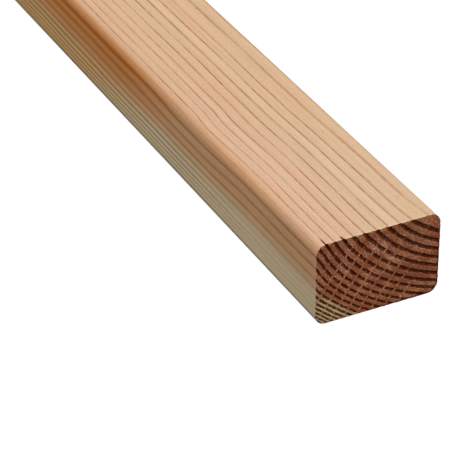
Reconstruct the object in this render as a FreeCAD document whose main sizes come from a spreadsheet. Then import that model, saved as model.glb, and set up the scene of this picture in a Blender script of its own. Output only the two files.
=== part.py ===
# Planed softwood post: one sawn, planed and edge-rounded piece of Douglas fir, lying on its wide face.
#
# Millimetres. +Y runs along the grain, +X across the wide face and +Z up.
# The origin is on the underside, midway along the post and midway across it.
import FreeCAD
import Part
import os
import Sketcher

# Driving dimensions: alias, value in millimetres, what it is.
SIZES = (
    ("post_length", 2000.0, "length between the two square-sawn ends"),
    ("wide_face", 60.0, "width across the wide faces, planed"),
    ("narrow_face", 40.0, "height across the narrow faces, planed"),
    ("arris_radius", 5.0, "radius of the four rounded long edges"),
)
PARTS_FOLDER = "parts"


def make_sheet(doc):
    """Keeps every driving dimension in a spreadsheet cell that has the dimension's own alias."""
    sheet = doc.addObject("Spreadsheet::Sheet", "sizes")
    for row, (alias, value, meaning) in enumerate(SIZES, start=1):
        sheet.set(f"A{row}", meaning)
        sheet.set(f"B{row}", str(value))
        sheet.setAlias(f"B{row}", alias)
    doc.recompute()
    return sheet


def origin_plane(body, role):
    """Returns one of the body's own origin planes, found by its role."""
    return next(plane for plane in body.Origin.OriginFeatures if plane.Role == role)


def add_section(body):
    """Draws the square-edged section: a rectangle that stands on the ground line, centred on the Z axis."""
    sketch = body.newObject("Sketcher::SketchObject", "section")
    sketch.AttachmentSupport = [(origin_plane(body, "XZ_Plane"), "")]
    sketch.MapMode = "FlatFace"

    corners = [FreeCAD.Vector(x, z, 0) for x, z in ((-1, 0), (1, 0), (1, 1), (-1, 1))]
    ends = corners[1:] + corners[:1]
    underside, right_side, top_side, left_side = sketch.addGeometry(
        [Part.LineSegment(start, end) for start, end in zip(corners, ends)]
    )
    sides = (underside, right_side, top_side, left_side)
    for side, following in zip(sides, sides[1:] + sides[:1]):
        sketch.addConstraint(Sketcher.Constraint("Coincident", side, 2, following, 1))
    sketch.addConstraint(Sketcher.Constraint("Horizontal", top_side))
    for side in (right_side, left_side):
        sketch.addConstraint(Sketcher.Constraint("Vertical", side))
    # Geometry -1 is the sketch's horizontal axis and -2 its vertical one. The underside's two ends mirror
    # each other across the vertical axis, which also keeps the underside level.
    sketch.addConstraint(Sketcher.Constraint("PointOnObject", underside, 1, -1))
    sketch.addConstraint(Sketcher.Constraint("Symmetric", underside, 1, underside, 2, -2))

    width = sketch.addConstraint(Sketcher.Constraint("DistanceX", underside, 1, underside, 2, 1.0))
    sketch.renameConstraint(width, "width")
    sketch.setExpression("Constraints.width", "sizes.wide_face")
    height = sketch.addConstraint(Sketcher.Constraint("DistanceY", right_side, 1, right_side, 2, 1.0))
    sketch.renameConstraint(height, "height")
    sketch.setExpression("Constraints.height", "sizes.narrow_face")
    return sketch


def add_length(body, section):
    """Runs the section both ways along the grain, half the length each way."""
    pad = body.newObject("PartDesign::Pad", "sawn_length")
    pad.Profile = section
    pad.SideType = "Symmetric"
    pad.setExpression("Length", "sizes.post_length")
    return pad


def long_edges(shape):
    """Returns the names of the edges that run along the grain, which is along Y."""
    names = []
    for number, edge in enumerate(shape.Edges, start=1):
        run = edge.Vertexes[-1].Point - edge.Vertexes[0].Point
        if abs(run.y) > abs(run.x) + abs(run.z):
            names.append(f"Edge{number}")
    return names


def add_arrises(body, pad):
    """Rounds the four long edges. The end edges stay as sharp as the saw leaves them."""
    fillet = body.newObject("PartDesign::Fillet", "rounded_arrises")
    fillet.Base = (pad, long_edges(pad.Shape))
    fillet.setExpression("Radius", "sizes.arris_radius")
    return fillet


def make_post(doc):
    """The whole post: one solid piece of wood."""
    body = doc.addObject("PartDesign::Body", "post")
    body.Label = "post"
    section = add_section(body)
    doc.recompute()
    pad = add_length(body, section)
    doc.recompute()
    add_arrises(body, pad)
    doc.recompute()
    return body


def check(doc, bodies):
    """Stops the build on any failed object, and on a piece that is empty, broken or not one solid."""
    for item in doc.Objects:
        if {"Invalid", "Error"} & set(item.State):
            raise RuntimeError(f"{item.Name} failed: {item.State}")
    for body in bodies:
        if body.Shape.isNull() or not body.Shape.isValid() or len(body.Shape.Solids) != 1:
            raise RuntimeError(f"{body.Label} is not one valid solid")


def main():
    doc = FreeCAD.newDocument("wooden_post")
    make_sheet(doc)
    pieces = [make_post(doc)]
    check(doc, pieces)
    os.makedirs(PARTS_FOLDER, exist_ok=True)
    for piece in pieces:
        piece.Shape.exportStep(os.path.join(PARTS_FOLDER, f"{piece.Label}.step"))
        box = piece.Shape.BoundBox
        print(f"{piece.Label}: {piece.Shape.Volume:.0f} mm3, x {box.XMin:.2f} to {box.XMax:.2f}, "
              f"y {box.YMin:.2f} to {box.YMax:.2f}, z {box.ZMin:.2f} to {box.ZMax:.2f}")


main()
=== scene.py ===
"""Looks of a planed softwood post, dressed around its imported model.

Metres. +Y runs along the grain, +X across the wide face and +Z up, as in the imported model. The growth rings
are one function of the place in the wood, so the lines on the planed faces meet the rings on the sawn ends.
"""

import logging
import math
from dataclasses import dataclass
from enum import Enum
from typing import Any

import bmesh
import bpy
import numpy as np
from bpy.types import Material, Mesh, Node, NodeSocket, NodeTree, Object
from mathutils import Matrix, Vector, noise
from numpy.lib.mixins import NDArrayOperatorsMixin


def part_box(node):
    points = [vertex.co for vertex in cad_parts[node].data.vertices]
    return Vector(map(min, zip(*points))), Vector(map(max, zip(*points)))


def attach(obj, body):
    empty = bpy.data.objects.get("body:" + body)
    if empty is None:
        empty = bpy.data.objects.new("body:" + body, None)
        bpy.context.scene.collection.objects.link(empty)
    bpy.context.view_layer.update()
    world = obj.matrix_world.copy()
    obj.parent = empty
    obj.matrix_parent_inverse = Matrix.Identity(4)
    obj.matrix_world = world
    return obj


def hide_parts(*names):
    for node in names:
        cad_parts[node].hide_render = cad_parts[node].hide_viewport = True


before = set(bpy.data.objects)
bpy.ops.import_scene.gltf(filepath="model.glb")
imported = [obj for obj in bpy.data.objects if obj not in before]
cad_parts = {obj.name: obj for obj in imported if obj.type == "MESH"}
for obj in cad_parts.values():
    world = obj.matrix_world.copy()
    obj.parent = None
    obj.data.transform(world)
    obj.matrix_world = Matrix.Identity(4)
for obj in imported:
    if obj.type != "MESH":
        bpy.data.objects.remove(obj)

MM = 0.001
NODE = "post"
BODY = "root"
TURN = 2.0 * math.pi
WHITE = (1.0, 1.0, 1.0, 1.0)
log = logging.getLogger("post")

# An array of numbers, for shaping a mesh, or a Wire, for a material. Both take the same arithmetic.
Numbers = Any
# A colour as a screen shows it, 0 to 255.
Colour = tuple[int, int, int]


# ---- shared arithmetic


NODE_STEPS = {
    np.add: "ADD",
    np.subtract: "SUBTRACT",
    np.multiply: "MULTIPLY",
    np.divide: "DIVIDE",
    np.maximum: "MAXIMUM",
    np.sin: "SINE",
    np.exp: "EXPONENT",
    np.sqrt: "SQRT",
    np.floor: "FLOOR",
    np.abs: "ABSOLUTE",
}


class Wire(NDArrayOperatorsMixin):
    """A number that flows through a material's nodes and takes the same arithmetic as an array."""

    def __init__(self, tree: NodeTree, socket: NodeSocket) -> None:
        """Holds a socket of a node tree."""
        self.tree = tree
        self.socket = socket

    def __array_ufunc__(self, step: np.ufunc, method: str, *numbers: Any) -> "Wire":
        """Lays one arithmetic node where an array would be worked out.

        Args:
            step: the arithmetic.
            method: how it is asked for, which is always a plain call here; not used.
            numbers: one or two plain numbers or wires.

        Returns:
            The node's result.
        """
        node = self.tree.nodes.new("ShaderNodeMath")
        node.operation = NODE_STEPS[step]
        for number, slot in zip(numbers, node.inputs):
            if isinstance(number, Wire):
                self.tree.links.new(number.socket, slot)
            else:
                slot.default_value = float(number)
        return Wire(self.tree, node.outputs[0])


def from_nearest(value: Numbers) -> Numbers:
    """Returns how far a number lies from the nearest whole one."""
    return value - np.floor(value + 0.5)


@dataclass(frozen=True)
class Fade:
    """A number that goes smoothly from low to high while what is measured goes from start to end."""

    start: float
    end: float
    low: float = 0.0
    high: float = 1.0

    def at(self, value: Numbers) -> Numbers:
        """Works the number out for an array, or lays one node for a wire.

        Args:
            value: what is measured.

        Returns:
            The number.
        """
        if not isinstance(value, Wire):
            share = np.clip((value - self.start) / (self.end - self.start), 0.0, 1.0)
            return share * share * (3.0 - 2.0 * share) * (self.high - self.low) + self.low
        node = value.tree.nodes.new("ShaderNodeMapRange")
        node.interpolation_type = "SMOOTHSTEP"
        value.tree.links.new(value.socket, node.inputs["Value"])
        names = ("From Min", "From Max", "To Min", "To Max")
        for name, number in zip(names, (self.start, self.end, self.low, self.high)):
            node.inputs[name].default_value = number
        return Wire(value.tree, node.outputs["Result"])


def closing(reach: float, share: float) -> Fade:
    """Returns a fade from 1 to 0 that starts at a share of its reach and ends at it."""
    return Fade(reach * share, reach, 1.0, 0.0)


@dataclass(frozen=True)
class Hill:
    """A number that rises from 0 at start to 1 at full, and falls from 1 at going to 0 at gone."""

    start: float
    full: float
    going: float
    gone: float

    def at(self, value: Numbers) -> Numbers:
        """Returns the height of the hill."""
        return Fade(self.start, self.full).at(value) * Fade(self.going, self.gone, 1.0, 0.0).at(value)


@dataclass(frozen=True)
class Tone:
    """A straight change of a number: how strongly it counts, and the level where it is 0."""

    gain: float
    level: float

    def of(self, value: Numbers) -> Numbers:
        """Returns the changed number."""
        return value * self.gain + self.level


@dataclass(frozen=True)
class Grain:
    """Soft noise: its spots' size along x, y and z, in millimetres, its finer layers, its gain and its level."""

    x: float
    y: float
    z: float
    detail: float = 2.0
    gain: float = 1.0
    level: float = 0.0


def paint(colour: Colour) -> tuple[float, float, float, float]:
    """Turns a colour as a screen shows it, 0 to 255, into linear light.

    Args:
        colour: the colour.

    Returns:
        The linear colour, with an alpha of 1.
    """
    knee, slope, lift, power = 0.04045, 12.92, 0.055, 2.4
    shares = [level / 255.0 for level in colour]
    return (*(s / slope if s <= knee else ((s + lift) / (1.0 + lift)) ** power for s in shares), 1.0)


# ---- how the tree grew


@dataclass(frozen=True)
class BuriedKnot:
    """A knot under the upper face. The grain swings aside before it and slips partly back. Millimetres."""

    along: float = 109.0
    rise: float = 43.0
    push: float = 1.6
    push_fade: Fade = Fade(4, 34, 1, 0.25)
    slip: Fade = Fade(-17, -2, 1, 0)
    slip_long: float = 13.0
    slip_later_below: float = 2.6
    slip_longer_below: float = 4.0

    def push_at(self, x: Numbers, y: Numbers, depth: Numbers) -> Numbers:
        """Returns how far the grain is pushed aside.

        Args:
            x: place across the wide face.
            y: place along the grain from the near end.
            depth: distance under the upper face.

        Returns:
            The push towards the left, in millimetres.
        """
        swing = Fade(self.along - self.rise, self.along, 0.0, self.push).at(y) * self.push_fade.at(depth)
        started = y - self.along - depth * self.slip_later_below
        share = started / (depth * self.slip_longer_below + self.slip_long)
        return swing - Fade(0, 1).at(share) * self.slip.at(x)


@dataclass(frozen=True)
class Spot:
    """A soft round spot of the section: its middle, its reach and how much it adds there. Millimetres."""

    x: float
    z: float
    reach: float
    strength: float

    def at(self, x: Numbers, z: Numbers) -> Numbers:
        """Returns what the spot adds at a place.

        Args:
            x: place across the wide face.
            z: height above the underside.

        Returns:
            The strength, less the farther off the place lies.
        """
        off_x = (x - self.x) / self.reach
        off_z = (z - self.z) / self.reach
        return np.exp((off_x * off_x + off_z * off_z) * -1.0) * self.strength


@dataclass(frozen=True)
class Rings:
    """The growth rings of the log. Millimetres, from the middle of the near end's lower edge."""

    pith_x: float = 52.0
    pith_z: float = 63.0
    tilt: float = math.radians(-8.2)
    oval: float = 1.2545
    first: float = -9.435
    rate: float = 0.197
    crowding: float = 0.94
    crowded_at: float = 90.0
    crowding_fade: float = 13.72
    swells: tuple[Spot, ...] = (
        Spot(-31, 31.5, 8, 0.28),
        Spot(-13, 40, 9, -0.17),
        Spot(28, 41, 6, 0.42),
        Spot(-30, 11, 5, -0.2),
    )
    bend: Fade = Fade(-8, 40, 0, 4.4)
    bend_fade: float = 22.0
    lean: Fade = Fade(240, 1800, 0, 4)
    wander: float = 0.16
    wander_period: float = 193.0
    ripple: float = 0.1
    ripple_period: float = 61.0
    top: float = 40.0
    knot: BuriedKnot = BuriedKnot()

    def count(self, x: Numbers, y: Numbers, z: Numbers) -> Numbers:
        """Counts the rings out to a place. A whole number is the middle of a dark band.

        Args:
            x: place across the wide face from the middle of the post.
            y: place along the grain from the near end.
            z: height above the underside.

        Returns:
            The number of rings.
        """
        settled = 1.0 - np.exp(y * (-1.0 / self.bend_fade))
        x_wood = x + self.bend.at(x) * settled + self.lean.at(y) + self.knot.push_at(x, y, self.top - z)
        wave = np.sin(y * (TURN / self.wander_period)) * self.wander
        z_wood = z + wave + np.sin(y * (TURN / self.ripple_period)) * self.ripple
        dx = x_wood - self.pith_x
        dz = z_wood - self.pith_z
        along = dx * math.cos(self.tilt) + dz * math.sin(self.tilt)
        across = (dz * math.cos(self.tilt) - dx * math.sin(self.tilt)) * self.oval
        out = np.sqrt(along * along + across * across)
        crowd = np.exp((out - self.crowded_at) / self.crowding_fade) * self.crowding
        count = out * self.rate + crowd + self.first
        for swell in self.swells:
            count = count + swell.at(x_wood, z_wood)
        return count


@dataclass(frozen=True)
class SawMarks:
    """The marks that a coarse saw left across the rings of a sawn end. Millimetres."""

    heading: float = math.radians(144.5)
    pitch: float = 5.66
    shift: float = -2.7
    line_width: float = 0.55
    break_width: float = 1.05
    core_share: float = 0.3
    edge_share: float = 0.7
    rough_x: float = -8.0
    rough_z: float = 13.0
    rough_flat: float = 1.2
    rough: Fade = Fade(15, 32, 1, 0)
    tooth: float = 0.71
    bend: float = 0.22
    bend_period: float = 31.0

    def place(self, x: Numbers, z: Numbers) -> Numbers:
        """Returns how far across the saw marks a place lies.

        Args:
            x: place across the wide face.
            z: height above the underside.

        Returns:
            The distance in millimetres.
        """
        along = z * math.cos(self.heading) - x * math.sin(self.heading)
        drift = np.sin(along * (TURN / self.bend_period)) * self.bend
        return x * math.cos(self.heading) + z * math.sin(self.heading) + drift + self.shift

    def score(self, across: Numbers, width: float, share: float = 1.0) -> Numbers:
        """Draws the marks between the saw's strokes.

        Args:
            across: how far across the marks a place lies, from place.
            width: how wide a mark is.
            share: the marks' spacing as a share of the pitch.

        Returns:
            1 on a mark and 0 between the marks.
        """
        pitch = self.pitch * share
        off = np.abs(from_nearest(across / pitch)) * pitch
        return Fade(width * self.core_share, width * self.edge_share, 1.0, 0.0).at(off)

    def roughness(self, x: Numbers, z: Numbers) -> Numbers:
        """Returns how strongly the saw marked a place, from 0 to 1.

        Args:
            x: place across the wide face.
            z: height above the underside.

        Returns:
            The roughness.
        """
        off_x = x - self.rough_x
        off_z = (z - self.rough_z) * self.rough_flat
        return self.rough.at(np.sqrt(off_x * off_x + off_z * off_z))

    def teeth(self, across: Numbers) -> Numbers:
        """Returns the fine ripple of the saw's teeth, from 0 to 1."""
        return np.sin(across * (TURN / self.tooth)) * 0.5 + 0.5


@dataclass(frozen=True)
class EndCheck:
    """A small drying crack that opens along one ring at the upper edge of an end. Millimetres."""

    ring: float
    long: float
    down: float
    half_width: float = 0.36
    sunk: float = 0.95
    open: float = 1.5
    ring_width: float = 4.6
    core_share: float = 0.25
    long_share: float = 0.7
    down_share: float = 0.6
    carved_share: float = 0.4

    def aside(self, count: Numbers) -> Numbers:
        """Returns how far a place lies beside the crack's own ring."""
        return np.abs(count - self.ring) * self.ring_width

    def shade(self, count: Numbers, along: Numbers, depth: Numbers) -> Numbers:
        """Returns how dark the crack is at a place, from 0 to 1.

        Args:
            count: the number of rings.
            along: distance from the near end.
            depth: distance under the upper face.

        Returns:
            The darkness of the crack.
        """
        thin = closing(self.half_width, self.core_share).at(self.aside(count))
        back = closing(self.long, self.long_share).at(along)
        return thin * back * closing(self.down, self.down_share).at(depth)


# ---- finishes


class Surface(Enum):
    """The two kinds of surface on the post, each with its own place in the list of finishes."""

    PLANED = 0
    SAWN = 1


def new_material(name: str) -> tuple[Material, NodeTree, Node]:
    """Starts a material that holds one plain shader.

    Args:
        name: the material's name.

    Returns:
        The material, its node tree and its shader node.
    """
    material = bpy.data.materials.new(name)
    material.use_nodes = True
    tree = material.node_tree
    shader = next(node for node in tree.nodes if node.type == "BSDF_PRINCIPLED")
    return material, tree, shader


class Coat:
    """A material in the making. It knows the place in the wood, in millimetres, and the rings there."""

    def __init__(self, name: str, size: "PostSize", rings: Rings, wobble: Grain) -> None:
        """Starts the material.

        Args:
            name: the material's name.
            size: the post's size.
            rings: the growth rings.
            wobble: the noise that makes the rings a little uneven.
        """
        self.material, self.tree, self.shader = new_material(name)
        where = self.tree.nodes.new("ShaderNodeTexCoord")
        parts = self.tree.nodes.new("ShaderNodeSeparateXYZ")
        self.tree.links.new(where.outputs["Object"], parts.inputs[0])
        self.x, y, z = (Wire(self.tree, out) / MM for out in parts.outputs)
        self.along = y - size.near / MM
        self.up = z - size.low / MM
        self.to_far = size.length / MM - self.along
        self.depth = size.height / MM - self.up
        self.even_count = rings.count(self.x, self.along, self.up)
        self.count = self.even_count + self.speckle(wobble)
        self.off_band = from_nearest(self.count)
        self.wood: Any = None

    def speckle(self, grain: Grain, *place: Wire) -> Wire:
        """Makes soft noise.

        Args:
            grain: the size of its spots.
            place: three numbers to lay it over, or none for the place in the wood.

        Returns:
            A number that wanders about half the gain, above the level.
        """
        join = self.tree.nodes.new("ShaderNodeCombineXYZ")
        spans = (grain.x, grain.y, grain.z)
        for value, span, slot in zip(place or (self.x, self.along, self.up), spans, join.inputs):
            self.tree.links.new((value / span).socket, slot)
        node = self.tree.nodes.new("ShaderNodeTexNoise")
        node.inputs["Scale"].default_value = 1.0
        node.inputs["Detail"].default_value = grain.detail
        self.tree.links.new(join.outputs[0], node.inputs["Vector"])
        fresh = Wire(self.tree, node.outputs["Fac"])
        return fresh if grain.gain == 1.0 else fresh * grain.gain + grain.level

    def blend(self, amount: Wire, under: Any, over: Any, way: str = "MIX") -> NodeSocket:
        """Lays one colour over another.

        Args:
            amount: how much of the upper colour shows, from 0 to 1.
            under: the lower colour, as a socket or a Colour.
            over: the upper colour, as a socket or a Colour.
            way: how the two colours meet: MIX for paint, MULTIPLY for a stain.

        Returns:
            The socket of the blended colour.
        """
        node = self.tree.nodes.new("ShaderNodeMix")
        node.data_type = "RGBA"
        node.blend_type = way
        node.clamp_factor = True
        self.tree.links.new(amount.socket, node.inputs["Factor"])
        colours = [slot for slot in node.inputs if slot.type == "RGBA"]
        for colour, slot in zip((under, over), colours):
            if isinstance(colour, tuple):
                slot.default_value = paint(colour)
            else:
                self.tree.links.new(colour, slot)
        return next(out for out in node.outputs if out.type == "RGBA")

    def lit(self, colour: NodeSocket, share: Wire) -> NodeSocket:
        """Returns a colour made lighter or darker by a share.

        Args:
            colour: the socket of the colour.
            share: the share, where 1 changes nothing.

        Returns:
            The socket of the changed colour.
        """
        node = self.tree.nodes.new("ShaderNodeVectorMath")
        node.operation = "SCALE"
        self.tree.links.new(colour, node.inputs[0])
        self.tree.links.new(share.socket, node.inputs["Scale"])
        return node.outputs[0]

    def lay(self, amount: Wire, colour: Colour, way: str = "MIX") -> None:
        """Lays a colour over the wood so far."""
        self.wood = self.blend(amount, self.wood, colour, way)

    def light(self, share: Wire) -> None:
        """Makes the wood so far lighter or darker by a share."""
        self.wood = self.lit(self.wood, share)

    def crack(self, checks: tuple[EndCheck, ...], colour: Colour) -> None:
        """Draws the drying cracks on the wood so far, dark as painted shade inside them."""
        for check in checks:
            self.lay(check.shade(self.even_count, self.along, self.depth), colour)

    def finish(self, dull: Wire, relief: Wire, finish: Any) -> Material:
        """Joins the finished patterns to the shader.

        Args:
            dull: the roughness.
            relief: the fine relief, from 0 to about 1.
            finish: the finish that says how glossy and how deep they are.

        Returns:
            The material.
        """
        node = self.tree.nodes.new("ShaderNodeBump")
        node.inputs["Strength"].default_value = finish.bump
        node.inputs["Distance"].default_value = finish.bump_height * MM
        self.tree.links.new(relief.socket, node.inputs["Height"])
        self.tree.links.new(node.outputs[0], self.shader.inputs["Normal"])
        self.tree.links.new(self.wood, self.shader.inputs["Base Color"])
        self.tree.links.new(dull.socket, self.shader.inputs["Roughness"])
        self.shader.inputs["Specular IOR Level"].default_value = finish.gloss
        return self.material


@dataclass(frozen=True)
class PlanedFinish:
    """Planed long grain: pale wood with thin brown growth lines. Zones are in rings, places in millimetres."""

    name: str = "planed_long_grain"
    early: Colour = (218, 184, 150)
    early_pink: Colour = (220, 178, 147)
    early_pale: Colour = (225, 195, 163)
    late: Colour = (160, 104, 68)
    outer_heart: Colour = (211, 162, 119)
    outer_late: Colour = (156, 104, 64)
    sap: Colour = (218, 197, 160)
    sap_late: Colour = (162, 132, 90)
    # Orange tint: a stain of the outer heartwood where the soak lays it, and painted shade in the band high on the
    # left face.
    orange_stain_and_shade: Colour = (253, 217, 165)
    deep_stained: Colour = (238, 216, 176)
    fibre: Colour = (232, 206, 178)
    # Painted shade: the dark colour inside the drying cracks.
    crack: Colour = (58, 20, 10)
    stain: Colour = (206, 112, 92)

    wobble: Grain = Grain(5, 55, 5, 3, 0.2, -0.1)
    heart_zone: Fade = Fade(8.3, 9.7)
    sap_zone: Fade = Fade(11.4, 14.4)

    thin: Hill = Hill(-0.14, -0.03, 0.02, 0.06)
    wide: Hill = Hill(-0.36, -0.05, 0.03, 0.14)
    wide_heart: Fade = Fade(20, 150, 0.36, 0.56)
    wide_sap: Fade = Fade(20, 150, 0, 0.34)
    wide_plain: float = 0.08
    strength_grain: Grain = Grain(6, 45, 6)
    strength: Fade = Fade(0.3, 0.62, 0.4, 0.9)
    broken_grain: Grain = Grain(0.8, 5, 0.8)
    broken: Fade = Fade(0.34, 0.58, 0.62, 1.07)
    fresh: Fade = Fade(25, 150, 0.6, 0)
    soaked: Fade = Fade(130, 210, 0, 0.35)
    inner: Fade = Fade(-1.6, 0.2, 0.55, 1)
    faint: Hill = Hill(8.4, 8.7, 9.3, 9.6)
    faint_by: float = 0.7

    tint_grain: Grain = Grain(6, 130, 6)
    tint_outwards: float = 0.035
    pink: Fade = Fade(0.56, 0.8, 0, 0.8)
    pale: Hill = Hill(0.9, 1.3, 1.6, 1.95)
    pale_by: float = 0.55

    soak_lag: float = 8.0
    soak_reach: Fade = Fade(36, 118)
    soak_dies: Fade = Fade(330, 800, 1, 0.4)
    soak_takes: Fade = Fade(8.2, 9.8, 0.12, 1)
    soak_leaves: Fade = Fade(10.4, 13, 1, 0.68)
    broad: Hill = Hill(-0.5, -0.14, 0.12, 0.4)
    deep_from: Fade = Fade(8.6, 9.7)
    deep_to: Fade = Fade(10.2, 11.6, 1, 0.3)

    fibre_grain: Grain = Grain(0.5, 34, 0.5, 4)
    fibre_tone: Tone = Tone(0.28, 0.59)
    stipple: Grain = Grain(0.45, 1.5, 0.45, 2, 0.3)
    layers: Grain = Grain(0.11, 160, 60, 3, 0.24)
    streak: Grain = Grain(1.7, 120, 1.7, 3, 0.2, 0.9)
    fleck_grain: Grain = Grain(0.55, 4.2, 0.55, 1)
    flecks: Fade = Fade(0.66, 0.74)
    fleck_tone: Tone = Tone(-0.17, 1.02)

    beside_crack: Hill = Hill(-0.28, -0.2, -0.1, 0)
    beside_long: Fade = Fade(1.5, 2.6, 0.8, 0)
    # Painted shade: the left face is drawn a little darker close to the near end.
    left_shade_side: Fade = Fade(-29.5, -27, 1, 0)
    left_shade_long: Fade = Fade(5, 90, 0.045, 0)
    # A warmer, darker band high on the left face: partly the heartwood's own richer colour, partly painted shade.
    shoulder_shade_side: Fade = Fade(-28.5, -25, 0.3, 0)
    shoulder_shade_up: Fade = Fade(33.5, 36.5)
    shoulder_shade_long: Hill = Hill(15, 75, 100, 160)
    # Painted shadow: the lowest few millimetres of the left side and its lower arris are drawn darker, as a
    # contact shadow.
    low_shade_side: Fade = Fade(-29, -27, 1, 0)
    low_shade_up: Fade = Fade(3.4, 4.8, 0.6, 0)
    ragged: Grain = Grain(0.9, 1.4, 0.9, 2, 3.2, -1.1)
    rim: Fade = Fade(0, 0.8)
    rim_down: Fade = Fade(0.1, 0.9, 0.6, 0)

    fibre_dull: Tone = Tone(0.16, 0.52)
    line_dull: float = 0.05
    gloss: float = 0.05
    line_relief: float = 0.55
    fibre_relief: float = 0.45
    fleck_relief: float = 0.5
    bump: float = 0.35
    bump_height: float = 0.12

    def build(self, rings: Rings, checks: tuple[EndCheck, ...], size: "PostSize") -> Material:
        """Builds the material.

        Args:
            rings: the growth rings.
            checks: the drying cracks at the near end.
            size: the post's size.

        Returns:
            The material.
        """
        coat = Coat(self.name, size, rings, self.wobble)
        thin = self.thin.at(coat.off_band)
        fibre = coat.speckle(self.fibre_grain)
        flecks = self.flecks.at(coat.speckle(self.fleck_grain))
        line = self._growth_lines(coat, thin)
        coat.wood = self._bare_wood(coat, line)
        self._soak(coat)
        layers = coat.speckle(self.layers, coat.count, coat.along, coat.up)
        coat.light(self.fleck_tone.of(flecks))
        coat.light(self.fibre_tone.of(fibre) + coat.speckle(self.stipple) + layers)
        coat.light(coat.speckle(self.streak))
        coat.crack(checks, self.crack)
        self._shade_edges(coat, checks[-1])
        dull = self.fibre_dull.of(fibre) + line * self.line_dull
        relief = thin * self.line_relief + fibre * self.fibre_relief - flecks * self.fleck_relief
        return coat.finish(dull, relief, self)

    def _growth_lines(self, coat: Coat, thin: Wire) -> Wire:
        """Draws the growth lines: thin where the wood is plain, wider and softer towards the bark.

        Args:
            coat: the material in the making.
            thin: the thin core of each line.

        Returns:
            The darkness of the lines, from 0 to 1.
        """
        heart, sap = self.heart_zone.at(coat.count), self.sap_zone.at(coat.count)
        widened = heart * self.wide_heart.at(coat.along) + sap * self.wide_sap.at(coat.along) + self.wide_plain
        strength = self.strength.at(coat.speckle(self.strength_grain))
        broken = self.broken.at(coat.speckle(self.broken_grain))
        line = np.maximum(thin * strength * broken, self.wide.at(coat.off_band) * widened)
        line = line * (1.0 - sap * self.fresh.at(coat.along))
        line = line * (1.0 - heart * (1.0 - sap) * self.soaked.at(coat.along))
        return line * self.inner.at(coat.count) * (1.0 - self.faint.at(coat.count) * self.faint_by)

    def _bare_wood(self, coat: Coat, line: Wire) -> NodeSocket:
        """Colours the wood from the heart out to the sapwood, with its growth lines.

        Args:
            coat: the material in the making.
            line: the darkness of the growth lines.

        Returns:
            The socket of the colour.
        """
        heart, sap = self.heart_zone.at(coat.count), self.sap_zone.at(coat.count)
        tint = coat.speckle(self.tint_grain) + coat.count * self.tint_outwards
        early = coat.blend(self.pink.at(tint), self.early, self.early_pink)
        early = coat.blend(self.pale.at(coat.count) * self.pale_by, early, self.early_pale)
        early = coat.blend(sap, coat.blend(heart, early, self.outer_heart), self.sap)
        late = coat.blend(sap, coat.blend(heart, self.late, self.outer_late), self.sap_late)
        return coat.blend(line, early, late)

    def _soak(self, coat: Coat) -> None:
        """Stains the outer heartwood orange away from the near end, deepest beside its growth lines.

        Args:
            coat: the material in the making.
        """
        reached = self.soak_reach.at(coat.along - coat.count * self.soak_lag) * self.soak_dies.at(coat.along)
        taken = self.soak_takes.at(coat.count) * self.soak_leaves.at(coat.count)
        coat.lay(reached * taken, self.orange_stain_and_shade, "MULTIPLY")
        deep = self.broad.at(coat.off_band) * self.deep_from.at(coat.count) * self.deep_to.at(coat.count)
        coat.lay(reached * deep, self.deep_stained, "MULTIPLY")

    def _shade_edges(self, coat: Coat, crack: EndCheck) -> None:
        """Paints shade, with some warmer heartwood colour, on the left face and its arrises, lays a red stain
        beside a crack, and leaves loose fibres along the sawn rims.

        Args:
            coat: the material in the making.
            crack: the drying crack that has a red stain beside it.
        """
        beside = self.beside_crack.at(coat.even_count - crack.ring) * self.beside_long.at(coat.along)
        coat.lay(beside, self.stain)
        # Painted shade: the left face is drawn a little darker close to the near end.
        coat.light(1.0 - self.left_shade_side.at(coat.x) * self.left_shade_long.at(coat.along))
        # Painted shade, with the heartwood's own richer colour: a warmer, darker band high on the left face.
        shoulder_shade = self.shoulder_shade_side.at(coat.x) * self.shoulder_shade_up.at(coat.up)
        coat.lay(shoulder_shade * self.shoulder_shade_long.at(coat.along), self.orange_stain_and_shade, "MULTIPLY")
        # Painted shadow along the lower left arris.
        coat.light(1.0 - self.low_shade_side.at(coat.x) * self.low_shade_up.at(coat.up))
        ragged = coat.speckle(self.ragged)
        rim = 1.0 - self.rim.at(coat.along - ragged) * self.rim.at(coat.to_far - ragged)
        coat.lay(rim * self.rim_down.at(coat.depth), self.fibre)


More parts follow.
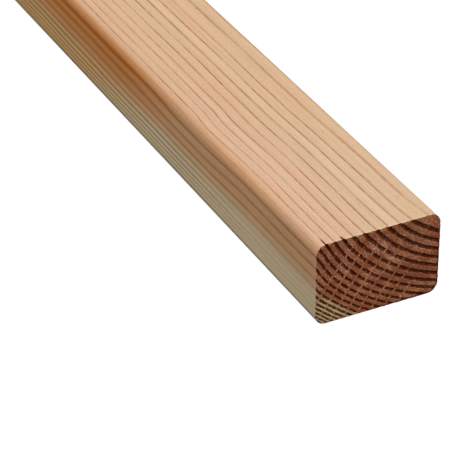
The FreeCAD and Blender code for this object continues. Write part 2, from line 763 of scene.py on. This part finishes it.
@dataclass(frozen=True)
class SawnFinish:
    """Rough-sawn end grain: red-brown wood, near-black late wood cut into dashes by pale saw marks."""

    name: str = "sawn_end_grain"
    early: Colour = (196, 119, 82)
    early_red: Colour = (176, 100, 66)
    # Late wood: brown of its own, and near-black on its heart side as a painted shadow under the edge of the early
    # wood.
    late: Colour = (50, 8, 0)
    late_soft: Colour = (104, 42, 12)
    torn: Colour = (248, 200, 164)
    sap: Colour = (222, 192, 142)
    sap_late: Colour = (96, 50, 20)
    green: Colour = (182, 134, 90)
    # Painted shade: the dark colour inside the drying cracks.
    crack: Colour = (40, 12, 4)

    wobble: Grain = Grain(2.2, 9, 2.2, 3, 0.3, -0.15)
    edges: Hill = Hill(-0.25, -0.17, 0.17, 0.25)
    dark_from: Fade = Fade(-0.7, -0.4)
    sap_edges: Hill = Hill(-0.36, -0.24, 0.22, 0.32)
    sap_dark_from: Fade = Fade(12.4, 13.6)
    beside: Hill = Hill(-0.38, -0.2, 0.2, 0.38)
    heart_side_shadow: Fade = Fade(-0.1, 0.06, 1, 0)

    fuzz_grain: Grain = Grain(0.7, 3, 0.7, 3)
    fuzz_tone: Tone = Tone(0.95, 0.53)
    cloud_grain: Grain = Grain(9, 30, 9)
    other_grain: Grain = Grain(12, 30, 12)
    other_seat: float = 70.0
    drift: Grain = Grain(3, 9, 3, 2, 0.5, -0.25)
    streak_grain: Grain = Grain(0.13, 4, 3.2, 3)
    streak_tone: Tone = Tone(1.15, 0.44)
    sap_clouds: float = 3.0
    sap_streaks: float = 2.4
    sap_zone: Fade = Fade(14.9, 16.9)

    rough_fuzz: float = 0.5
    rough: Fade = Fade(0.85, 1.5)
    sap_smooth: float = 0.62
    gap: Tone = Tone(0.85, 0.1)
    half_gap: Fade = Fade(0.5, 0.6, 0, 0.35)
    gap_fuzz: Fade = Fade(0.36, 0.56, 0.7, 1)
    gap_covers: float = 0.9
    tick_band: Tone = Tone(0.7, 0.03)
    tick_rough: Tone = Tone(0.85, 0.08)
    tick_fuzz: Fade = Fade(0.44, 0.6)
    teeth: Fade = Fade(0.5, 0.62)
    teeth_tone: Tone = Tone(0.16, 0.95)

    red_or_brown: Fade = Fade(0.42, 0.6)
    greenish: Fade = Fade(0.54, 0.7, 0, 0.3)
    mottle: Grain = Grain(1.1, 5, 1.1, 2, 1.5, -0.78)
    fray_streaks: float = 0.4
    fray: Fade = Fade(0.74, 0.88, 0, 0.75)
    fray_cloud: Fade = Fade(0.4, 0.58, 0.3, 1)
    fray_dark: float = 0.75
    frayed: tuple[Spot, ...] = (
        Spot(4, 32, 4, 0.08),
        Spot(6.5, 24.5, 4, 0.08),
        Spot(17, 30, 4, 0.12),
        Spot(-4, 31, 3, 0.1),
        Spot(-2.5, 16, 3, 0.06),
        Spot(-20, 27, 4, 0.06),
    )

    # Painted shade: the right and lower rims, the right part and the upper left part of the end are drawn darker.
    rim_shade_in: Fade = Fade(0.2, 1.3, 0.7, 0)
    rim_shade_side: Fade = Fade(-15, 20)
    right_shade: Fade = Fade(-6, 12, 0, 0.1)
    upper_shade: Fade = Fade(24, 34, 0, 0.08)
    upper_shade_left: Fade = Fade(-4, 10, 1, 0)

    dull: Tone = Tone(0.16, 0.77)
    gloss: float = 0.06
    gap_relief: float = 0.5
    teeth_relief: float = 0.1
    fuzz_relief: float = 0.6
    streak_relief: float = 0.4
    dark_relief: float = 0.5
    bump: float = 0.7
    bump_height: float = 0.3

    def build(self, rings: Rings, saw: SawMarks, checks: tuple[EndCheck, ...], size: "PostSize") -> Material:
        """Builds the material.

        Args:
            rings: the growth rings.
            saw: the saw marks.
            checks: the drying cracks at the near end.
            size: the post's size.

        Returns:
            The material.
        """
        coat = Coat(self.name, size, rings, self.wobble)
        fuzz = coat.speckle(self.fuzz_grain)
        cloud = coat.speckle(self.cloud_grain)
        other = coat.speckle(self.other_grain, coat.x, coat.along + self.other_seat, coat.up)
        across = saw.place(coat.x, coat.up) + coat.speckle(self.drift)
        streaks = coat.speckle(self.streak_grain, coat.count, coat.along, across)
        sap = self.sap_zone.at(coat.even_count + cloud * self.sap_clouds + streaks * self.sap_streaks)
        dark = self.edges.at(coat.off_band) * self.dark_from.at(coat.count)
        dark = np.maximum(dark, self.sap_edges.at(coat.off_band) * self.sap_dark_from.at(coat.count))

        rough = self.rough.at(saw.roughness(coat.x, coat.up) + fuzz * self.rough_fuzz + other)
        rough = rough * (1.0 - sap * self.sap_smooth)
        gap = saw.score(across, saw.break_width) * self.gap.of(rough)
        half_gap = saw.score(across, saw.line_width, 0.5) * rough * self.half_gap.at(cloud)
        gap = np.maximum(gap, half_gap) * self.gap_fuzz.at(fuzz)
        ticks = saw.score(across, saw.line_width) * self.tick_band.of(self.beside.at(coat.off_band))
        ticks = ticks * self.tick_rough.of(rough) * self.tick_fuzz.at(fuzz)
        teeth = saw.teeth(across) * self.teeth.at(cloud)

        early = coat.blend(self.red_or_brown.at(cloud), self.early_red, self.early)
        early = coat.blend(self.greenish.at(other), early, self.green)
        early = coat.blend(sap, early, self.sap)
        early = coat.lit(early, self.streak_tone.of(streaks))
        early = coat.lit(early, 1.0 + sap * coat.speckle(self.mottle))
        # Painted shadow: the heart side of each late band is drawn near-black; the rest keeps the late wood's own
        # brown.
        late = coat.blend(self.heart_side_shadow.at(coat.off_band), self.late_soft, self.late)
        late = coat.blend(sap, late, self.sap_late)
        ticked = coat.blend(ticks, early, self.torn)
        coat.wood = coat.blend(dark * (1.0 - gap * self.gap_covers), ticked, late)

        fray = fuzz + streaks * self.fray_streaks
        for spot in self.frayed:
            fray = fray + spot.at(coat.x, coat.up)
        torn = self.fray.at(fray) * self.fray_cloud.at(cloud) * (1.0 - dark * self.fray_dark)
        coat.lay(torn, self.torn)
        coat.light(self.fuzz_tone.of(fuzz))
        coat.light(self.teeth_tone.of(teeth))
        # Painted shade on the end's rims and parts.
        coat.light(1.0 - self._shade(coat, size))
        coat.crack(checks, self.crack)

        relief = gap * self.gap_relief + teeth * self.teeth_relief + fuzz * self.fuzz_relief
        relief = relief + streaks * self.streak_relief - dark * self.dark_relief
        return coat.finish(self.dull.of(fuzz), relief, self)

    def _shade(self, coat: Coat, size: "PostSize") -> Wire:
        """Works out the painted shade: how much darker the right and lower rims, the right part and the upper left
        part are drawn.

        Args:
            coat: the material in the making.
            size: the post's size.

        Returns:
            The share of the light that is lost.
        """
        # Painted shade along the right and lower rims, and on the upper left part.
        rim = self.rim_shade_in.at(size.inside(coat.x, coat.up)) * self.rim_shade_side.at(coat.x - coat.up)
        upper = self.upper_shade.at(coat.up) * self.upper_shade_left.at(coat.x)
        return rim + self.right_shade.at(coat.x) + upper


# ---- the post


@dataclass(frozen=True)
class PostSize:
    """The post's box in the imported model, in metres."""

    left: float
    right: float
    near: float
    far: float
    low: float
    high: float
    arris: float = 5.0 * MM

    @classmethod
    def of_node(cls, node: str) -> "PostSize":
        """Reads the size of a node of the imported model."""
        least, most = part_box(node)
        return cls(least.x, most.x, least.y, most.y, least.z, most.z)

    @property
    def middle(self) -> float:
        """Place of the middle across the wide faces."""
        return (self.left + self.right) / 2

    @property
    def width(self) -> float:
        """Width across the wide faces."""
        return self.right - self.left

    @property
    def height(self) -> float:
        """Height across the narrow faces."""
        return self.high - self.low

    @property
    def length(self) -> float:
        """Length between the two sawn ends."""
        return self.far - self.near

    def inside(self, x: Numbers, z: Numbers) -> Numbers:
        """Returns how far a place of the section lies inside its outline, all in millimetres.

        Args:
            x: place across the wide face.
            z: height above the underside.

        Returns:
            The distance, which is below 0 outside.
        """
        arris, middle = self.arris / MM, self.height / MM / 2
        past_x = np.abs(x) - (self.width / MM / 2 - arris)
        past_z = np.abs(z - middle) - (middle - arris)
        out_x, out_z = np.maximum(past_x, 0.0), np.maximum(past_z, 0.0)
        within = np.maximum(np.maximum(past_x, past_z) * -1.0, 0.0)
        return within - np.sqrt(out_x * out_x + out_z * out_z) + arris


@dataclass(frozen=True)
class BakeLayout:
    """Where the long faces and the two ends lie on the square map for baked colours, as shares of it."""

    name: str = "OFBake"
    margin: float = 0.004
    long_share: float = 0.746
    ends_from: float = 0.756
    end_high: float = 0.486


@dataclass(frozen=True)
class EndPoints:
    """Where the mesh's points lie in the section, from the nearer end and from the rim, and the rings there."""

    x: np.ndarray
    z: np.ndarray
    depth: np.ndarray
    from_end: np.ndarray
    to_rim: np.ndarray
    count: np.ndarray
    is_near: np.ndarray


@dataclass
class Post:
    """One planed post with rounded long edges and two rough-sawn ends."""

    size: PostSize
    rings: Rings = Rings()
    saw: SawMarks = SawMarks()
    planed: PlanedFinish = PlanedFinish()
    sawn: SawnFinish = SawnFinish()
    layout: BakeLayout = BakeLayout()
    cell: float = 60.0 * MM / 180
    rows: int = 92
    row_growth: float = 5.75
    checks: tuple[EndCheck, ...] = (EndCheck(8.0, 6.0, 4.5, 0.42), EndCheck(6.0, 3.6, 3.0, 0.55))
    early_sunk: float = 0.10
    score_proud: float = 0.10
    fuzz_deep: float = 0.09
    torn_deep: float = 0.55
    torn_reach: float = 0.9
    torn_up: Fade = Fade(0.8, 0.97, 0.15, 1)
    torn_level: float = 0.35
    torn_coarse: float = 1.3
    torn_fine: float = 0.6
    fine_noise: float = 1.6
    coarse_noise: float = 0.75
    coarse_seat: tuple[float, float, float] = (9.0, 4.0, 2.0)
    far_seat: float = 50.0
    relief_fade: float = 6.0
    sharp_angle: float = math.radians(40.0)
    name: str = "planed_post"

    def build(self) -> Object:
        """Builds, shapes, maps and dresses the post.

        Returns:
            The finished piece.
        """
        shape = bmesh.new()
        girth = self._end_face(shape)
        self._draw_out(shape)
        piece = into_scene(self.name, shape)
        self._map_for_baking(piece.data, girth)
        self._space_rows(piece.data)
        self._carve(piece.data)
        self._dress(piece)
        return piece

    def _end_face(self, shape: bmesh.types.BMesh) -> float:
        """Makes the near end as a fine grid with rounded corners, and notes the way round its outline.

        Args:
            shape: the empty mesh.

        Returns:
            The length of the outline.
        """
        across = round(self.size.width / self.cell)
        upright = round(self.size.height / self.cell)
        made = bmesh.ops.create_grid(shape, x_segments=across, y_segments=upright, size=0.5)
        stand = Matrix.Rotation(math.radians(90.0), 4, "X")
        stretch = Matrix.Diagonal((self.size.width, 1.0, self.size.height, 1.0))
        bmesh.ops.transform(shape, matrix=stretch @ stand, verts=made["verts"])
        for vertex in shape.verts:
            vertex.co = self._rounded(vertex.co)
        level = (self.size.low + self.size.high) / 2
        middle = Vector((self.size.middle, self.size.near, level))
        bmesh.ops.translate(shape, vec=middle, verts=shape.verts)
        for face in shape.faces:
            face.material_index = Surface.SAWN.value
        return self._walk_outline(shape)

    def _rounded(self, place: Vector) -> Vector:
        """Moves a point of the square-cornered grid to its place on the rounded section.

        Args:
            place: the point, from the middle of the section.

        Returns:
            Its new place.
        """
        half = (self.size.width / 2 - self.size.arris, self.size.height / 2 - self.size.arris)
        past_x = max(abs(place.x) - half[0], 0.0) / self.size.arris
        past_z = max(abs(place.z) - half[1], 0.0) / self.size.arris
        if past_x == 0.0 or past_z == 0.0:
            return place
        round_x = half[0] + self.size.arris * past_x * math.sqrt(1.0 - past_z**2 / 2.0)
        round_z = half[1] + self.size.arris * past_z * math.sqrt(1.0 - past_x**2 / 2.0)
        return Vector((math.copysign(round_x, place.x), place.y, math.copysign(round_z, place.z)))

    def _walk_outline(self, shape: bmesh.types.BMesh) -> float:
        """Writes on each outline vertex how far round the section it lies, from the middle of the underside.

        Args:
            shape: the end's grid.

        Returns:
            The length of the outline.
        """
        layer = shape.verts.layers.float.new("girth")
        outline = [vertex for vertex in shape.verts if vertex.is_boundary]
        vertex = min(outline, key=lambda v: (round(v.co.z, 7), abs(v.co.x)))
        start, before, walked = vertex, None, 0.0
        while True:
            vertex[layer] = walked
            steps = [edge for edge in vertex.link_edges if edge.is_boundary]
            onward = [edge.other_vert(vertex) for edge in steps if edge.other_vert(vertex) is not before]
            after = max(onward, key=lambda v: v.co.x) if before is None else onward[0]
            walked += (after.co - vertex.co).length
            before, vertex = vertex, after
            if vertex is start:
                return walked

    def _draw_out(self, shape: bmesh.types.BMesh) -> None:
        """Draws the end out along the grain into a closed post and cuts its sides into rows.

        Args:
            shape: the end's grid.
        """
        drawn = bmesh.ops.extrude_face_region(shape, geom=list(shape.faces), use_keep_orig=True)
        far = [item for item in drawn["geom"] if isinstance(item, bmesh.types.BMVert)]
        bmesh.ops.translate(shape, vec=Vector((0.0, self.size.length, 0.0)), verts=far)
        half = self.size.length / 2
        long_edges = [edge for edge in shape.edges if abs(edge.verts[0].co.y - edge.verts[1].co.y) > half]
        for edge in long_edges:
            for face in edge.link_faces:
                face.material_index = Surface.PLANED.value
        bmesh.ops.subdivide_edges(shape, edges=long_edges, cuts=self.rows - 1)
        bmesh.ops.recalc_face_normals(shape, faces=shape.faces)

    def _map_for_baking(self, mesh: Mesh, girth: float) -> None:
        """Lays the long faces and the two ends side by side on one square map.

        Args:
            mesh: the post's mesh, with its rows still evenly spaced.
            girth: the length of the section's outline.
        """
        places = vertex_places(mesh)
        round_at = np.empty(len(places))
        mesh.attributes["girth"].data.foreach_get("value", round_at)
        corner = np.empty(len(mesh.loops), np.int32)
        mesh.loops.foreach_get("vertex_index", corner)
        sawn = np.empty(len(mesh.polygons), np.int32)
        mesh.polygons.foreach_get("material_index", sawn)
        corners_each = 4
        is_end = np.repeat(sawn == Surface.SAWN.value, corners_each)

        way = round_at[corner].reshape(-1, corners_each)
        over_seam = (way.max(1) - way.min(1)) > girth / 2
        way = np.where(over_seam[:, None] & (way < girth / 2), way + girth, way).ravel()
        place = places[corner]
        along = (place[:, 1] - self.size.near) / self.size.length
        edge = self.layout.margin
        long_u = edge + (self.layout.long_share - 2 * edge) * way / girth
        long_v = edge + (1.0 - 2 * edge) * along
        end_u = (place[:, 2] - self.size.low) / self.size.height
        end_v = (place[:, 0] - self.size.left) / self.size.width
        end_u = self.layout.ends_from + (1.0 - edge - self.layout.ends_from) * end_u
        end_v = edge + self.layout.end_high * end_v + np.where(along > 0.5, 0.5, 0.0)
        flat = np.stack([np.where(is_end, end_u, long_u), np.where(is_end, end_v, long_v)], 1)
        layer = mesh.uv_layers.new(name=self.layout.name)
        layer.uv.foreach_set("vector", flat.astype(np.float32).ravel())
        mesh.attributes.remove(mesh.attributes["girth"])

    def _space_rows(self, mesh: Mesh) -> None:
        """Draws the evenly spaced rows together towards both ends, where the relief is.

        Args:
            mesh: the post's mesh.
        """
        places = vertex_places(mesh)
        share = (places[:, 1] - self.size.near) / self.size.length
        from_end = 1.0 - np.abs(2.0 * share - 1.0)
        eased = np.expm1(self.row_growth * from_end) / math.expm1(self.row_growth)
        half = self.size.length / 2
        places[:, 1] = np.where(share < 0.5, self.size.near + half * eased, self.size.far - half * eased)
        set_places(mesh, places)

    def _carve(self, mesh: Mesh) -> None:
        """Carves the rings, saw marks and torn fibres into both ends, and the drying cracks into the near end. All
        of it goes inwards.

        Args:
            mesh: the post's mesh.
        """
        places = vertex_places(mesh)
        x = (places[:, 0] - self.size.middle) / MM
        y = (places[:, 1] - self.size.near) / MM
        z = (places[:, 2] - self.size.low) / MM
        length = self.size.length / MM
        is_near = y < length / 2
        from_end = np.where(is_near, y, length - y)
        count = self.rings.count(x, np.where(is_near, 0.0, length), z)
        depth = self.size.height / MM - z
        points = EndPoints(x, z, depth, from_end, self.size.inside(x, z), count, is_near)
        deep = self._end_depth(points)
        fade = np.clip(1.0 - from_end / self.relief_fade, 0.0, 1.0)
        inwards = deep * fade
        sunk = np.zeros(len(places))
        for check in self.checks:
            opening, drop = self._crack(check, points)
            inwards = inwards + np.where(is_near, opening, 0.0)
            sunk = np.maximum(sunk, np.where(is_near, drop, 0.0))
        places[:, 1] += np.where(is_near, inwards, -inwards) * MM
        places[:, 2] -= sunk * MM
        set_places(mesh, places)

    def _end_depth(self, points: EndPoints) -> np.ndarray:
        """Works out how deep each point of a sawn end lies under the saw's highest strokes, in millimetres.

        Args:
            points: the mesh's points.

        Returns:
            The depth of each point.
        """
        x, z, is_near = points.x, points.z, points.is_near
        dark = self.sawn.edges.at(from_nearest(points.count))
        line = self.saw.score(self.saw.place(x, z), self.saw.break_width)
        spots = [Vector(spot) for spot in np.stack([x, z, np.where(is_near, 0.0, self.far_seat)], 1)]
        seat = Vector(self.coarse_seat)
        fine = np.array([noise.noise(spot * self.fine_noise) for spot in spots])
        coarse = np.array([noise.noise(spot * self.coarse_noise + seat) for spot in spots])
        fuzz = np.clip(0.5 + fine, 0.0, 1.0) * self.fuzz_deep
        ragged = np.clip(self.torn_level + self.torn_coarse * coarse + self.torn_fine * fine, 0.0, 1.0)
        upper = self.torn_up.at(z / (self.size.height / MM))
        torn = ragged * upper * Fade(0.0, self.torn_reach, self.torn_deep, 0.0).at(points.to_rim)
        return dark * self.early_sunk + (1.0 - line) * self.score_proud + fuzz + torn

    def _crack(self, check: EndCheck, points: EndPoints) -> tuple[np.ndarray, np.ndarray]:
        """Opens one drying crack where the upper face meets the near end.

        Args:
            check: the crack.
            points: the mesh's points.

        Returns:
            How far each point moves into the end, and how far down, in millimetres.
        """
        gap = np.clip(1.0 - check.aside(points.count) / check.half_width, 0.0, 1.0)
        tiny = self.cell / MM / 4
        gap = gap * closing(check.down, check.carved_share).at(points.depth)
        back = closing(check.long, check.carved_share).at(points.from_end)
        opening = np.where(points.from_end < tiny, gap * check.open, 0.0)
        drop = np.where((points.from_end > tiny) | (points.to_rim < tiny), gap * back * check.sunk, 0.0)
        return opening, drop

    def _dress(self, piece: Object) -> None:
        """Gives the post its two finishes, hangs it on the root body and hides the imported part it replaces.

        Args:
            piece: the shaped post.
        """
        piece.data.materials.append(self.planed.build(self.rings, self.checks, self.size))
        piece.data.materials.append(self.sawn.build(self.rings, self.saw, self.checks, self.size))
        piece.data.polygons.foreach_set("use_smooth", np.ones(len(piece.data.polygons), bool))
        piece.data.set_sharp_from_angle(angle=self.sharp_angle)
        piece.data.update()
        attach(piece, BODY)
        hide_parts(NODE)


def into_scene(name: str, data: Any) -> Object:
    """Puts an object into the scene.

    Args:
        name: its name.
        data: its lamp or camera, or a finished bmesh that becomes its mesh.

    Returns:
        The object.
    """
    if isinstance(data, bmesh.types.BMesh):
        shape, data = data, bpy.data.meshes.new(name)
        shape.to_mesh(data)
        shape.free()
    thing = bpy.data.objects.new(name, data)
    bpy.context.scene.collection.objects.link(thing)
    return thing


def vertex_places(mesh: Mesh) -> np.ndarray:
    """Returns the places of a mesh's vertices as rows of three numbers.

    Args:
        mesh: the mesh.

    Returns:
        One row for each vertex.
    """
    flat = np.empty(len(mesh.vertices) * 3)
    mesh.vertices.foreach_get("co", flat)
    return flat.reshape(-1, 3)


def set_places(mesh: Mesh, places: np.ndarray) -> None:
    """Moves a mesh's vertices to new places."""
    mesh.vertices.foreach_set("co", places.astype(np.float32).ravel())
    mesh.update()


# ---- the studio


@dataclass
class Studio:
    """A plain floor that shows white, an even sky, one soft lamp and the camera. Metres."""

    size: PostSize
    floor_side: float = 12.0
    floor_drop: float = 0.1 * MM
    floor_tone: float = 0.07
    floor_glow: float = 0.99
    floor_rough: float = 0.9
    sky: float = 0.775
    sun_power: float = 0.72
    sun_spread: float = math.radians(38.0)
    sun_from: tuple[float, float, float] = (-0.13, -0.09, 0.96)
    eye_offset: tuple[float, float, float] = (-0.45074, -0.74816, 0.59944)
    azimuth: float = math.radians(-26.861)
    elevation: float = math.radians(32.647)
    lens: float = 195.95
    sensor: float = 36.0

    def build(self) -> None:
        """Sets up the floor, the light and the camera."""
        self._floor()
        self._sky()
        self._lamp()
        self._camera()

    def _floor(self) -> None:
        """Lays the floor under the post."""
        shape = bmesh.new()
        bmesh.ops.create_grid(shape, x_segments=1, y_segments=1, size=self.floor_side / 2)
        bmesh.ops.translate(shape, vec=Vector((0.0, 0.0, self.size.low - self.floor_drop)), verts=shape.verts)
        floor = into_scene("floor", shape)
        floor.data.materials.append(self._floor_finish())

    def _floor_finish(self) -> Material:
        """Builds the floor's material, which shows white but hardly lights the post.

        Returns:
            The material.
        """
        material, tree, shader = new_material("pale_floor")
        shader.inputs["Base Color"].default_value = (self.floor_tone,) * 3 + (1.0,)
        shader.inputs["Roughness"].default_value = self.floor_rough
        shader.inputs["Specular IOR Level"].default_value = 0.0
        shader.inputs["Emission Color"].default_value = WHITE
        glow = seen_rays(tree) * self.floor_glow
        tree.links.new(glow.socket, shader.inputs["Emission Strength"])
        return material

    def _sky(self) -> None:
        """Lights the scene evenly from all round, and shows white behind the post."""
        world = bpy.data.worlds.new("studio")
        bpy.context.scene.world = world
        world.use_nodes = True
        tree = world.node_tree
        back = next(node for node in tree.nodes if node.type == "BACKGROUND")
        back.inputs["Color"].default_value = WHITE
        level = seen_rays(tree) * (1.0 - self.sky) + self.sky
        tree.links.new(level.socket, back.inputs["Strength"])

    def _lamp(self) -> None:
        """Hangs one broad soft light over the post, a little to its left."""
        data = bpy.data.lights.new("overhead", "SUN")
        data.energy = self.sun_power
        data.angle = self.sun_spread
        lamp = into_scene("overhead", data)
        lamp.rotation_euler = Vector(self.sun_from).to_track_quat("Z", "Y").to_euler()

    def _camera(self) -> None:
        """Sets the camera at the near end, looking down along the post from its left."""
        data = bpy.data.cameras.new("camera")
        data.lens = self.lens
        data.sensor_width = self.sensor
        data.clip_end = self.floor_side * 4.0
        camera = into_scene("camera", data)
        end = Vector((self.size.middle, self.size.near, self.size.low))
        camera.location = end + Vector(self.eye_offset)
        level, up = math.cos(self.elevation), math.sin(self.elevation)
        back = Vector((math.sin(self.azimuth) * level, -math.cos(self.azimuth) * level, up))
        camera.rotation_euler = back.to_track_quat("Z", "Y").to_euler()
        bpy.context.scene.camera = camera


def seen_rays(tree: NodeTree) -> Wire:
    """Gives 1 for rays from the eye, straight or by way of a mirror or glass, and 0 for all others.

    Args:
        tree: the node tree that asks.

    Returns:
        The wire of the answer.
    """
    path = tree.nodes.new("ShaderNodeLightPath")
    kinds = ("Is Camera Ray", "Is Glossy Ray", "Is Transmission Ray")
    eye, mirror, glass = (Wire(tree, path.outputs[kind]) for kind in kinds)
    return np.maximum(np.maximum(eye, mirror), glass)


def main() -> None:
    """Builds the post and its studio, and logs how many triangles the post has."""
    logging.basicConfig(level=logging.INFO, format="%(name)s: %(message)s")
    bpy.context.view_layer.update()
    size = PostSize.of_node(NODE)
    bpy.context.scene.view_settings.view_transform = "Standard"
    Studio(size).build()
    log.info("studio built")
    post = Post(size).build()
    post.data.calc_loop_triangles()
    log.info("%s built with %d triangles", post.name, len(post.data.loop_triangles))


if __name__ == "__main__":
    main()
